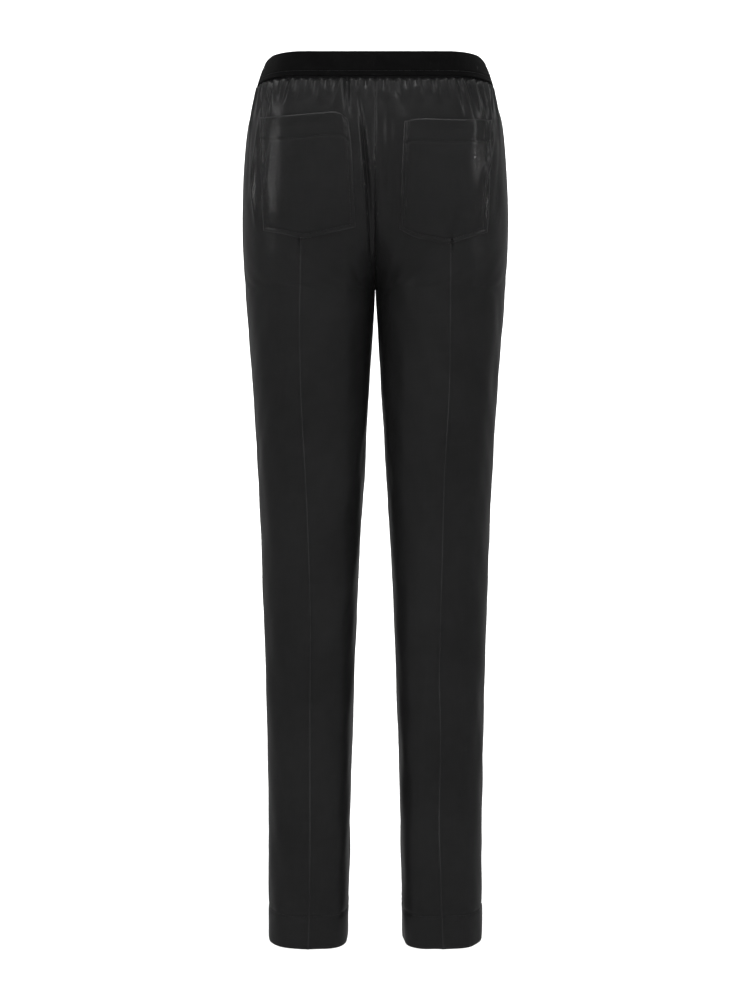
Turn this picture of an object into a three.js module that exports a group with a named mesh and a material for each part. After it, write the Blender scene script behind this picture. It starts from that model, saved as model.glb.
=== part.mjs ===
import * as THREE from "three";

// Pyjama pants with an elastic waistband and two back patch pockets, in the hollow form that they have when worn.
// Millimetres. The origin is the middle of the waistband's ring, +Z is up, the wearer faces -Y, and +X is their left.

// Driving sizes
const outseam = 1070;
const bandHeight = 30;
const bandWall = 2.2;
const clothWall = 1.4;
const pocketWall = 1.2;
const pocketGap = 0.4;
const hemTurnUp = 37;
const hemWall = 2.6;
const seamGap = 0.3;
const bandLap = 6; // how far the cloth runs up inside the band
const bandTop = bandHeight / 2;
const bandFoot = -bandHeight / 2;
const hemZ = bandTop - outseam;
const crotchZ = -264;

// Outlines of the worn form. side: half-width at the side seam. inner: the leg's inner edge.
// crease: where the pressed crease lies. back, front: depth there. A section is round at 2 and squarer above that:
// corner is for its outer half, innerCorner for its inner half.
const outline = [
  { z: 15, side: 137.2, inner: 0, crease: 84, back: 88, front: -88, corner: 2.15, innerCorner: 2.4 },
  { z: -15, side: 146.6, inner: 0, crease: 88, back: 92, front: -91, corner: 2.2, innerCorner: 2.4 },
  { z: -30, side: 150.4, inner: 0, crease: 90, back: 97, front: -94, corner: 2.25, innerCorner: 2.4 },
  { z: -63, side: 156.8, inner: 0, crease: 92, back: 106, front: -99, corner: 2.3, innerCorner: 2.4 },
  { z: -113, side: 161.2, inner: 0, crease: 92, back: 115, front: -104, corner: 2.35, innerCorner: 2.4 },
  { z: -165, side: 163.2, inner: 0, crease: 90, back: 119, front: -106, corner: 2.4, innerCorner: 2.4 },
  { z: -212, side: 162.6, inner: 0, crease: 88.5, back: 117, front: -104, corner: 2.4, innerCorner: 2.4 },
  { z: -262, side: 159.7, inner: 0, crease: 88.5, back: 111, front: -101, corner: 2.4, innerCorner: 2.4 },
  { z: -287, side: 158.1, inner: 1.3, crease: 88.3, back: 108, front: -98, corner: 2.4, innerCorner: 2.45 },
  { z: -336, side: 154.2, inner: 4.4, crease: 88, back: 103, front: -94, corner: 2.4, innerCorner: 2.5 },
  { z: -386, side: 150.5, inner: 7.4, crease: 87.3, back: 98, front: -88, corner: 2.4, innerCorner: 2.6 },
  { z: -460, side: 145.8, inner: 11.7, crease: 85, back: 92, front: -79, corner: 2.4, innerCorner: 2.7 },
  { z: -535, side: 141.9, inner: 16.1, crease: 81.5, back: 87, front: -71, corner: 2.4, innerCorner: 2.8 },
  { z: -609, side: 138.9, inner: 20.4, crease: 78.5, back: 83.5, front: -63, corner: 2.45, innerCorner: 2.9 },
  { z: -683, side: 136.2, inner: 23.5, crease: 77, back: 81, front: -57, corner: 2.5, innerCorner: 3 },
  { z: -758, side: 134, inner: 26.3, crease: 77, back: 79, front: -53, corner: 2.55, innerCorner: 3.1 },
  { z: -907, side: 131.1, inner: 30.8, crease: 77, back: 75, front: -49, corner: 2.6, innerCorner: 3.3 },
  { z: -1055, side: 130.6, inner: 34, crease: 79.8, back: 71, front: -46, corner: 2.75, innerCorner: 3.9 },
];

// The legs join over this height above the crotch, and above it the centre seam lies in a shallow cleft.
// A cleft of 0 is flat across and 1 parts the legs.
const seamCurve = { height: 150, bend: 0.75, cleftTop: -60, cleftFoot: -180, back: 0.45, front: 0.3 };

// Pressed creases, front and back, fade in below the pockets.
const pressedCrease = { start: -205, full: -250, height: 3.5, spread: 14 };

// Small gathers drawn up by the elastic, in each panel.
const gathers = { count: 16, foot: -57, height: 2.6, underBand: 0.5, unevenness: [1, 0.55, 0.85, 0.4, 0.95, 0.65, 0.8] };

// The largest folds. from: millimetres of cloth from the centre seam, at the top and at the foot.
const folds = [
  { panel: "back_left", top: -50, foot: -256, fromTop: 13, fromFoot: 6, width: 7, height: -4 },
  { panel: "back_left", top: -70, foot: -225, fromTop: 168, fromFoot: 176, width: 14, height: 2 },
  { panel: "back_right", top: -55, foot: -235, fromTop: 160, fromFoot: 142, width: 12, height: 3 },
  { panel: "back_right", top: -50, foot: -190, fromTop: 22, fromFoot: 17, width: 9, height: -2.5 },
  { panel: "front_left", top: -60, foot: -200, fromTop: 44, fromFoot: 52, width: 16, height: 2.5 },
  { panel: "front_left", top: -75, foot: -240, fromTop: 140, fromFoot: 152, width: 16, height: 2.5 },
  { panel: "front_right", top: -60, foot: -185, fromTop: 56, fromFoot: 46, width: 16, height: 2.5 },
  { panel: "front_right", top: -70, foot: -230, fromTop: 146, fromFoot: 136, width: 16, height: 3 },
];

const panels = [
  { name: "back_left", hand: 1, face: "back" },
  { name: "back_right", hand: -1, face: "back" },
  { name: "front_left", hand: 1, face: "front" },
  { name: "front_right", hand: -1, face: "front" },
];

// Back patch pockets: heights of the top and bottom edges at the inner corner, the crease line and the outer corner.
const pockets = [
  { name: "pocket_left", panel: "back_left", top: [-61.5, -62, -60], foot: [-199, -209, -193] },
  { name: "pocket_right", panel: "back_right", top: [-68.5, -68, -61.5], foot: [-199, -214, -194] },
];

// Places across a panel: 0 is the centre seam or inseam, 1 the crease line and 2 the side seam.
const columns = [0, 0.06, 0.13, 0.21, 0.3, 0.48, 0.66, 0.83, 1, 1.11, 1.22, 1.33, 1.46, 1.6, 1.74, 1.87, 2];
const pocketColumns = { first: 4, last: 11 };
const gatherRows = [bandFoot + bandLap, bandFoot, -21, -29, -38, -47];
const bodyRows = [gathers.foot, -75, -95, -120, -145, -170, -190, -217, -232, -244, -253, -260];
const legRows = [-270, -284, -304, -336, -386, -460, -545, -640, -740, -840, -935];
const foldRow = hemZ + hemTurnUp;
const hemRows = [foldRow + 1, foldRow - 1, hemZ];
const bandRows = [bandTop, 5, -5, bandFoot];

const clamp = (v, low, high) => Math.min(high, Math.max(low, v));
const lerp = (a, b, t) => a + (b - a) * t;
const ease = (t) => THREE.MathUtils.smoothstep(t, 0, 1);

// A smooth curve through one column of a table whose z runs downwards.
function smoothColumn(table, key) {
  const slope = (i) => {
    const a = table[Math.max(0, i - 1)];
    const b = table[Math.min(table.length - 1, i + 1)];
    return (b[key] - a[key]) / (b.z - a.z);
  };
  return (z) => {
    const last = table.length - 2;
    const found = table.findIndex((row, i) => i <= last && z >= table[i + 1].z);
    const i = found < 0 ? last : found;
    const a = table[i];
    const b = table[i + 1];
    const span = b.z - a.z;
    const t = clamp((z - a.z) / span, 0, 1);
    const t2 = t * t;
    const t3 = t2 * t;
    return (
      (2 * t3 - 3 * t2 + 1) * a[key] +
      (t3 - 2 * t2 + t) * span * slope(i) +
      (3 * t2 - 2 * t3) * b[key] +
      (t3 - t2) * span * slope(i + 1)
    );
  };
}

const shape = {};
for (const key of Object.keys(outline[0])) shape[key] = smoothColumn(outline, key);

const midY = (z) => (shape.back(z) + shape.front(z)) / 2;

// How far the two legs are still parted at a height: 1 below the crotch, and the cleft's depth high above it.
function parting(face, z) {
  const cleft = seamCurve[face] * ease((seamCurve.cleftTop - z) / (seamCurve.cleftTop - seamCurve.cleftFoot));
  const joined = ease(clamp((z - crotchZ) / seamCurve.height, 0, 1)) ** seamCurve.bend;
  return lerp(1, cleft, joined);
}

// One level line of a panel as a fine polyline, with the length of cloth up to each point.
// Above the crotch the leg's round section is cut by the middle plane, where it meets the centre seam.
const arcSteps = 48;
function levelLine(face, z) {
  const corner = shape.corner(z);
  const innerCorner = shape.innerCorner(z);
  const inner = Math.max(shape.inner(z), seamGap / 2 + 0.05);
  const crease = shape.crease(z);
  const peak = shape[face](z);
  const middle = midY(z);
  const parted = parting(face, z);
  const points = [];
  for (let i = 0; i <= arcSteps; i++) {
    const share = Math.cos((i / arcSteps) * (Math.PI / 2)) ** (2 / innerCorner);
    const out = Math.max(0, 1 - (parted * share) ** innerCorner) ** (1 / innerCorner);
    points.push([lerp(crease, inner, share), lerp(middle, peak, out)]);
  }
  for (let i = 1; i <= arcSteps; i++) {
    const turn = (i / arcSteps) * (Math.PI / 2);
    const across = Math.sin(turn) ** (2 / corner);
    const out = Math.cos(turn) ** (2 / corner);
    points.push([lerp(crease, shape.side(z), across), lerp(middle, peak, out)]);
  }
  const lengths = [0];
  for (let i = 1; i < points.length; i++) {
    lengths.push(lengths[i - 1] + Math.hypot(points[i][0] - points[i - 1][0], points[i][1] - points[i - 1][1]));
  }
  return { points, lengths, creaseAt: lengths[arcSteps], sideAt: lengths[2 * arcSteps] };
}

const lineCache = new Map();
function cachedLine(face, z) {
  const key = face + z.toFixed(3);
  if (!lineCache.has(key)) lineCache.set(key, levelLine(face, z));
  return lineCache.get(key);
}

// Millimetres of cloth from the inner edge to a place across the panel.
function clothAt(line, place) {
  const along = place <= 1 ? place * line.creaseAt : lerp(line.creaseAt, line.sideAt, place - 1);
  return clamp(along, seamGap / 2, line.sideAt - seamGap / 2);
}

// The worn form with its pressed crease and no folds, on the wearer's left.
function formPoint(face, place, z) {
  const line = cachedLine(face, z);
  const along = clothAt(line, place);
  let i = 1;
  while (i < line.lengths.length - 1 && line.lengths[i] < along) i++;
  const t = (along - line.lengths[i - 1]) / (line.lengths[i] - line.lengths[i - 1]);
  const [x0, y0] = line.points[i - 1];
  const [x1, y1] = line.points[i];
  const pressed = ease((pressedCrease.start - z) / (pressedCrease.start - pressedCrease.full));
  const ridge = pressed * pressedCrease.height * Math.exp(-Math.abs(along - line.creaseAt) / pressedCrease.spread);
  return new THREE.Vector3(lerp(x0, x1, t), lerp(y0, y1, t) + (face === "back" ? ridge : -ridge), z);
}

// Unit normal of the form, pointing out of the garment.
const probe = { place: 0.02, z: 1.5 };
function formNormal(face, place, z) {
  const low = clamp(place - probe.place, 0, 2 - 2 * probe.place);
  const across = formPoint(face, low + 2 * probe.place, z).sub(formPoint(face, low, z));
  const top = clamp(z + probe.z, hemZ + 2 * probe.z, bandTop);
  const up = formPoint(face, place, top).sub(formPoint(face, place, top - 2 * probe.z));
  const normal = across.cross(up).normalize();
  return face === "back" ? normal.negate() : normal;
}

// Height of the elastic's gathers, which open out below the band and fade down the cloth.
function gatherHeight(place, z) {
  const number = (place / 2) * gathers.count;
  const uneven = gathers.unevenness[Math.floor(number) % gathers.unevenness.length];
  const wave = 0.5 - 0.5 * Math.cos(number * 2 * Math.PI);
  const opened = lerp(gathers.underBand, gathers.height, ease((bandFoot - z) / 10));
  const faded = 1 - ease((bandFoot - 4 - z) / ((bandFoot - 4 - gathers.foot) * lerp(0.6, 1, uneven)));
  return wave * uneven * opened * faded;
}

function foldHeight(panel, along, z) {
  let height = 0;
  for (const fold of folds) {
    if (fold.panel !== panel.name || z > fold.top || z < fold.foot) continue;
    const down = (fold.top - z) / (fold.top - fold.foot);
    const centre = lerp(fold.fromTop, fold.fromFoot, down);
    height += fold.height * Math.sin(Math.PI * down) ** 0.7 * Math.exp(-(((along - centre) / fold.width) ** 2));
  }
  return height;
}

const seamFade = 5; // folds die out this near a seam
function relief(panel, place, z) {
  const line = cachedLine(panel.face, z);
  const along = clothAt(line, place);
  const fade = ease(Math.min(along, line.sideAt - along) / seamFade);
  return fade * (gatherHeight(place, z) + foldHeight(panel, along, z));
}

// Below the band the cloth follows the outline. Inside the band it is held in by the elastic's wall.
function heldIn(z) {
  const room = bandWall + seamGap + gathers.underBand + 0.5;
  return room * (1 - ease((bandFoot - z) / 7));
}

// A point of a panel's wall, moved out from its outer face. out is negative towards the inside.
function panelPoint(panel, place, z, out) {
  const normal = formNormal(panel.face, place, z);
  const point = formPoint(panel.face, place, z);
  point.addScaledVector(normal, relief(panel, place, z) - heldIn(z) + out);
  point.x = Math.max(point.x, seamGap / 2 + 0.02) * panel.hand;
  return point;
}

// A closed wall between two stacks of rows. Rows may differ in how many points they have.
function wallGeometry(outer, inner, closed) {
  const positions = [];
  const index = [];
  const number = (rows) =>
    rows.map((row) =>
      row.map((point) => {
        positions.push(point.x, point.y, point.z);
        return positions.length / 3 - 1;
      }),
    );
  const faces = [number(outer), number(inner)];
  if (closed) for (const rows of faces) for (const row of rows) row.push(row[0]);
  const quad = (a, b, c, d) => index.push(a, b, c, a, c, d);
  const strip = (a, b, flipped) => {
    let i = 0;
    let j = 0;
    while (i < a.length - 1 || j < b.length - 1) {
      const nextA = (i + 1) / (a.length - 1);
      const nextB = (j + 1) / (b.length - 1);
      const stepA = j === b.length - 1 || (i < a.length - 1 && nextA <= nextB);
      const third = stepA ? a[i + 1] : b[j + 1];
      if (flipped) index.push(a[i], third, b[j]);
      else index.push(a[i], b[j], third);
      if (stepA) i++;
      else j++;
    }
  };
  faces.forEach((rows, inside) => {
    for (let r = 0; r < rows.length - 1; r++) strip(rows[r], rows[r + 1], inside === 1);
  });
  const [out, back] = faces;
  const foot = out.length - 1;
  for (let i = 0; i < out[0].length - 1; i++) quad(out[0][i], out[0][i + 1], back[0][i + 1], back[0][i]);
  for (let i = 0; i < out[foot].length - 1; i++) {
    quad(out[foot][i + 1], out[foot][i], back[foot][i], back[foot][i + 1]);
  }
  if (!closed) {
    for (let r = 0; r < foot; r++) {
      const end = out[r].length - 1;
      const endBelow = out[r + 1].length - 1;
      quad(out[r + 1][0], out[r][0], back[r][0], back[r + 1][0]);
      quad(out[r][end], out[r + 1][endBelow], back[r + 1][endBelow], back[r][end]);
    }
  }
  const geometry = new THREE.BufferGeometry();
  geometry.setAttribute("position", new THREE.Float32BufferAttribute(positions, 3));
  geometry.setIndex(index);
  return facingOut(geometry);
}

// Turns the faces round where a mirrored piece would be inside out.
function facingOut(geometry) {
  const p = geometry.getAttribute("position");
  const order = geometry.index.array;
  const [a, b, c] = [new THREE.Vector3(), new THREE.Vector3(), new THREE.Vector3()];
  let volume = 0;
  for (let i = 0; i < order.length; i += 3) {
    a.fromBufferAttribute(p, order[i]);
    b.fromBufferAttribute(p, order[i + 1]);
    c.fromBufferAttribute(p, order[i + 2]);
    volume += a.dot(b.cross(c));
  }
  if (volume < 0) for (let i = 0; i < order.length; i += 3) [order[i + 1], order[i + 2]] = [order[i + 2], order[i + 1]];
  geometry.computeVertexNormals();
  return geometry;
}

const cloth = () => new THREE.MeshStandardMaterial({ color: 0x232324, roughness: 0.55, metalness: 0 });
const plush = () => new THREE.MeshStandardMaterial({ color: 0x0d0d0e, roughness: 0.95, metalness: 0 });

function named(name, geometry, material) {
  const mesh = new THREE.Mesh(geometry, material);
  mesh.name = name;
  return mesh;
}

// Places across the gathered rows: four to each gather, so that each has a crest and two flanks.
const gatherColumns = Array.from({ length: gathers.count * 4 + 1 }, (_, i) => (2 * i) / (gathers.count * 4));
const wallAt = (z) => (z < foldRow ? hemWall : clothWall);

const panelRows = [
  ...gatherRows.map((z) => ({ z, places: gatherColumns })),
  ...[...bodyRows, crotchZ, ...legRows, ...hemRows].map((z) => ({ z, places: columns })),
];

function panelMesh(panel) {
  const rows = (depth) =>
    panelRows.map(({ z, places }) => places.map((place) => panelPoint(panel, place, z, depth(z))));
  return named(
    panel.name,
    wallGeometry(
      rows(() => 0),
      rows((z) => -wallAt(z)),
      false,
    ),
    cloth(),
  );
}

// A point on a panel's faceted face, on one of its columns and between two of its rows.
function onPanel(panel, place, z, out) {
  const levels = panelRows.map((row) => row.z);
  const below = levels.findIndex((level) => level <= z);
  const t = (levels[below - 1] - z) / (levels[below - 1] - levels[below]);
  const a = panelPoint(panel, place, levels[below - 1], out);
  return a.lerp(panelPoint(panel, place, levels[below], out), t);
}

function pocketMesh(pocket) {
  const panel = panels.find((p) => p.name === pocket.panel);
  const places = columns.slice(pocketColumns.first, pocketColumns.last + 1);
  const levels = bodyRows.filter((z) => z < Math.min(...pocket.top) && z > Math.max(...pocket.foot));
  const edge = ([inner, middle, outer], place) => {
    if (place < 1) return lerp(inner, middle, (place - places[0]) / (1 - places[0]));
    return lerp(middle, outer, (place - 1) / (places.at(-1) - 1));
  };
  const rows = (out) => [
    places.map((place) => onPanel(panel, place, edge(pocket.top, place), out)),
    ...levels.map((z) => places.map((place) => onPanel(panel, place, z, out))),
    places.map((place) => onPanel(panel, place, edge(pocket.foot, place), out)),
  ];
  return named(pocket.name, wallGeometry(rows(pocketGap + pocketWall), rows(pocketGap), false), cloth());
}

// The elastic waistband, one ring.
const bandPlaces = Array.from({ length: 21 }, (_, i) => i / 10);
function bandMesh() {
  const quarter = (face, hand, z, out) =>
    bandPlaces.map((place) => {
      const normal = formNormal(face, place, z);
      const point = formPoint(face, place, z).addScaledVector(normal, out);
      if (place === 0) point.x = 0;
      if (place === 2) point.y = midY(z);
      point.x *= hand;
      return point;
    });
  const ring = (z, out) => [
    ...quarter("back", 1, z, out).slice(0, -1),
    ...quarter("front", 1, z, out).reverse().slice(0, -1),
    ...quarter("front", -1, z, out).slice(0, -1),
    ...quarter("back", -1, z, out).reverse().slice(0, -1),
  ];
  const rows = (out) => bandRows.map((z) => ring(z, out));
  return named("waistband", wallGeometry(rows(0), rows(-bandWall), true), plush());
}

const pants = new THREE.Group();
pants.add(bandMesh());
for (const panel of panels) pants.add(panelMesh(panel));
for (const pocket of pockets) pants.add(pocketMesh(pocket));

export default pants;
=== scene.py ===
import math

import bpy
import numpy as np
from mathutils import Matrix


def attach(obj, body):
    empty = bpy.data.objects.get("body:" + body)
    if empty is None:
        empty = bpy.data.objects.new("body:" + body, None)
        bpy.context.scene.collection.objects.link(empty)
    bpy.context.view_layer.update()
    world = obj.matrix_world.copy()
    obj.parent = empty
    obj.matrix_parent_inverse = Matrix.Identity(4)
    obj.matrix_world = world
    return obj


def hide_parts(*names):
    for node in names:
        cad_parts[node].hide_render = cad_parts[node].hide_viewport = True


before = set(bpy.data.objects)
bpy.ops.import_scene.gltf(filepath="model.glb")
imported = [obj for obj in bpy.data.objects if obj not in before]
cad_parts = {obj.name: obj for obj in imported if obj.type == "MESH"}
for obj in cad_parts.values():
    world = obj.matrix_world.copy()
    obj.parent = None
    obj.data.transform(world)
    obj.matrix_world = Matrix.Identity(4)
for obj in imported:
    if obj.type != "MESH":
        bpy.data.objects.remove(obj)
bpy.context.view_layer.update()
print("frame loaded:", len(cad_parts), "nodes")

# Sizes below are in millimetres, in the frame's own axes, unless a name says otherwise.
mm = 0.001
rng = np.random.default_rng(11)


def mixOf(a, b, t):
    return a + (b - a) * t


def easeOf(t):
    t = np.clip(t, 0.0, 1.0)
    return t * t * (3 - 2 * t)


def bell(d, width):
    return np.exp(-((d / width) ** 2))


def curveBetween(v0, v1, slope0, slope1, span, t):
    return (
        (2 * t**3 - 3 * t**2 + 1) * v0
        + (t**3 - 2 * t**2 + t) * span * slope0
        + (3 * t**2 - 2 * t**3) * v1
        + (t**3 - t**2) * span * slope1
    )


def cornersMixed(grid, r, c, f, g):
    # the value a share f down and g across from row r and column c
    return mixOf(mixOf(grid[r, c], grid[r, c + 1], g), mixOf(grid[r + 1, c], grid[r + 1, c + 1], g), f)


# camera, in metres, as far off and as high as the photograph's was
camera = {"lens": 58.03, "distance": 2.0, "height": -0.392, "shiftX": -0.00025, "shiftY": -0.105}


def addObject(name, data):
    added = bpy.data.objects.new(name, data)
    bpy.context.scene.collection.objects.link(added)
    return added


def addCamera(c):
    data = bpy.data.cameras.new("camera")
    data.lens = c["lens"]
    data.sensor_width = 36
    data.shift_x = c["shiftX"]
    data.shift_y = c["shiftY"]
    data.dof.use_dof = False
    data.clip_end = 30
    seen = addObject("camera", data)
    seen.location = (0, c["distance"], c["height"])
    seen.rotation_euler = (math.pi / 2, 0, math.pi)
    bpy.context.scene.camera = seen


addCamera(camera)

# form of the worn pants, with the sections that the solids have
form = {
    "columns": ("z", "side", "inner", "crease", "back", "front", "corner", "innerCorner"),
    "sections": [
        (15, 137.2, 0, 84, 88, -88, 2.15, 2.4),
        (-15, 146.6, 0, 88, 92, -91, 2.2, 2.4),
        (-30, 150.4, 0, 90, 97, -94, 2.25, 2.4),
        (-63, 156.8, 0, 92, 106, -99, 2.3, 2.4),
        (-113, 161.2, 0, 92, 115, -104, 2.35, 2.4),
        (-165, 163.2, 0, 90, 119, -106, 2.4, 2.4),
        (-212, 162.6, 0, 88.5, 117, -104, 2.4, 2.4),
        (-262, 159.7, 0, 88.5, 111, -101, 2.4, 2.4),
        (-287, 158.1, 1.3, 88.3, 108, -98, 2.4, 2.45),
        (-336, 154.2, 4.4, 88, 103, -94, 2.4, 2.5),
        (-386, 150.5, 7.4, 87.3, 98, -88, 2.4, 2.6),
        (-460, 145.8, 11.7, 85, 92, -79, 2.4, 2.7),
        (-535, 141.9, 16.1, 81.5, 87, -71, 2.4, 2.8),
        (-609, 138.9, 20.4, 78.5, 83.5, -63, 2.45, 2.9),
        (-683, 136.2, 23.5, 77, 81, -57, 2.5, 3),
        (-758, 134, 26.3, 77, 79, -53, 2.55, 3.1),
        (-907, 131.1, 30.8, 77, 75, -49, 2.6, 3.3),
        (-1055, 130.6, 34, 79.8, 71, -46, 2.75, 3.9),
    ],
    "crotch": -264,
    "joinHeight": 150,  # the legs grow together over this height
    "joinBend": 0.75,
    "cleftTop": -60,
    "cleftFoot": -180,
    "cleft": {"back": 0.45, "front": 0.3},
    "lineSteps": 320,
}
sections = np.array(form["sections"], dtype=float)


def sectionValue(name, z):
    # a smooth curve through one column of the sections
    zs, vs = sections[:, 0], sections[:, form["columns"].index(name)]
    slopes = np.zeros(len(zs))
    slopes[1:-1] = (vs[2:] - vs[:-2]) / (zs[2:] - zs[:-2])
    slopes[0] = (vs[1] - vs[0]) / (zs[1] - zs[0])
    slopes[-1] = (vs[-1] - vs[-2]) / (zs[-1] - zs[-2])
    i = int(np.clip(np.searchsorted(-zs, -z, side="right") - 1, 0, len(zs) - 2))
    span = zs[i + 1] - zs[i]
    t = min(1.0, max(0.0, (z - zs[i]) / span))
    return curveBetween(vs[i], vs[i + 1], slopes[i], slopes[i + 1], span, t)


def levelLine(face, z):
    # one level line of a panel: its points, the cloth's length to each, and that length at the crease
    corner, innerCorner = sectionValue("corner", z), sectionValue("innerCorner", z)
    inner = max(sectionValue("inner", z), 0)
    crease, side, peak = (sectionValue(name, z) for name in ("crease", "side", face))
    middle = (sectionValue("back", z) + sectionValue("front", z)) / 2
    cleft = form["cleft"][face] * easeOf((form["cleftTop"] - z) / (form["cleftTop"] - form["cleftFoot"]))
    joined = easeOf((z - form["crotch"]) / form["joinHeight"]) ** form["joinBend"]
    parted = mixOf(1, cleft, joined)
    turn = np.linspace(0, math.pi / 2, form["lineSteps"] + 1)
    share = np.abs(np.cos(turn)) ** (2 / innerCorner)
    out = np.maximum(0, 1 - (parted * share) ** innerCorner) ** (1 / innerCorner)
    xs = [mixOf(crease, inner, share), mixOf(crease, side, np.sin(turn[1:]) ** (2 / corner))]
    ys = [mixOf(middle, peak, out), mixOf(middle, peak, np.abs(np.cos(turn[1:])) ** (2 / corner))]
    x, y = np.concatenate(xs), np.concatenate(ys)
    length = np.concatenate([[0], np.cumsum(np.hypot(np.diff(x), np.diff(y)))])
    return x, y, length, length[form["lineSteps"]]


class ClothGrid:
    # a panel as rows of points, with the way out of the cloth and its length from the inner edge
    def __init__(self, face, hand, zs, shares, creaseLine):
        self.face, self.hand, self.zs = face, hand, zs
        creaseX = self.smoothLine(*zip(*creaseLine))
        rows, cols = len(zs), len(shares)
        self.points = np.zeros((rows, cols, 3))
        self.along = np.zeros((rows, cols))
        self.crease = np.zeros(rows)
        self.width = np.zeros(rows)
        for r, z in enumerate(zs):
            x, y, length, _ = levelLine(face, z)
            creaseAt = np.interp(creaseX[r], x, length)
            at = np.where(shares <= 1, shares * creaseAt, mixOf(creaseAt, length[-1], shares - 1))
            self.along[r] = at
            self.points[r, :, 0] = np.interp(at, length, x)
            self.points[r, :, 1] = np.interp(at, length, y)
            self.points[r, :, 2] = z
            self.crease[r], self.width[r] = creaseAt, length[-1]
        self.acrossX = self.points[:, :, 0].copy()  # distance from the middle plane, before any folds
        self.points[:, :, 0] *= hand
        self.findNormals()
        self.base = self.normals.copy()
        self.squareEdges()

    def findNormals(self):
        down = np.gradient(self.points, axis=0)
        across = np.gradient(self.points, axis=1)
        n = np.cross(across, down)
        n /= np.maximum(np.linalg.norm(n, axis=2, keepdims=True), 1e-9)
        self.normals = n * (self.hand if self.face == "back" else -self.hand)

    def squareEdges(self):
        # at a seam both panels are raised the same way: back or forth at the middle, sideways at the sides
        joined = (self.zs > form["crotch"])[:, None]
        nearInner = 1 - easeOf(self.along / cloth["innerSquared"])
        nearSide = 1 - easeOf((self.width[:, None] - self.along) / cloth["sideSquared"])
        self.base[:, :, 0] *= np.where(joined, 1 - nearInner, 1)
        self.base[:, :, 1] *= np.where(joined, 1, 1 - nearInner) * (1 - nearSide)
        self.base /= np.maximum(np.linalg.norm(self.base, axis=2, keepdims=True), 1e-9)

    def raiseBy(self, height):
        self.points = self.points + self.base * height[:, :, None]
        self.findNormals()

    def smoothLine(self, zs, xs):
        # a line given by heights and distances from the middle plane, at every row, without its corners
        wanted = np.interp(-self.zs, -np.asarray(zs, float), np.asarray(xs, float))
        steps = 9
        return np.convolve(np.pad(wanted, steps // 2, mode="edge"), np.ones(steps) / steps, mode="valid")

    def lineAt(self, zs, xs):
        # the cloth's length from the inner edge to such a line, row by row
        smooth = self.smoothLine(zs, xs)
        return np.array([np.interp(smooth[r], self.acrossX[r], self.along[r]) for r in range(len(self.zs))])

    def sample(self, x, z, out=0.0):
        # points and normals on the finished cloth, at distances x from the middle plane and heights z
        rows, cols = self.acrossX.shape
        r = np.interp(-np.asarray(z, float), -self.zs, np.arange(rows))
        r0 = np.clip(np.floor(r).astype(int), 0, rows - 2)
        f = (r - r0)[:, None]
        lines = mixOf(self.acrossX[r0], self.acrossX[r0 + 1], f)
        c = np.array([np.interp(xi, line, np.arange(cols)) for xi, line in zip(np.asarray(x, float), lines)])
        c0 = np.clip(np.floor(c).astype(int), 0, cols - 2)
        g = (c - c0)[:, None]
        n = cornersMixed(self.normals, r0, c0, f, g)
        n /= np.linalg.norm(n, axis=1, keepdims=True)
        return cornersMixed(self.points, r0, c0, f, g) + n * out, n


# cloth of the four panels
cloth = {
    "wall": 1.2,
    "hemWall": 2.4,
    "bandFoot": -15,
    "heldIn": 3.1,  # how far the cloth is held in where it runs up inside the elastic
    "bulgeFast": 3.8,  # at a gather it has come out again this far below the elastic, and between them later
    "bulgeSlow": 5.6,
    "sideHeld": 2.2,  # at the hips it comes out more slowly
    "sideFrom": 128,
    "sideFoot": -66,
    "hem": -1055,
    "hemStitch": -1015.5,
    "seamDip": 1.3,
    "seamDipWidth": 1.7,
    "seamPucker": 0.32,
    "seamPuckerWidth": 6,
    "innerSquared": 7,  # within these of a seam a panel is raised along with its neighbour
    "sideSquared": 5,
    "edgeFade": 4,
}
panelRows = np.r_[
    -9:-13:-2.0, -13:-27:-1.2, -27:-70:-2.4, -70:-255:-3.6, -255:-275:-1.2, -275:-1005:-8.5, -1005:-1053:-2.0,
    -1053.4, -1054.5, -1055
]
# 0 is the inner edge, 1 the pressed crease, where the columns are closest, and 2 the side seam
panelShares = np.r_[0, 0.004, 0.01, 0.018:0.955:66j, 0.96:1.04:17j, 1.045:1.985:128j, 1.99, 1.996, 2]

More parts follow.
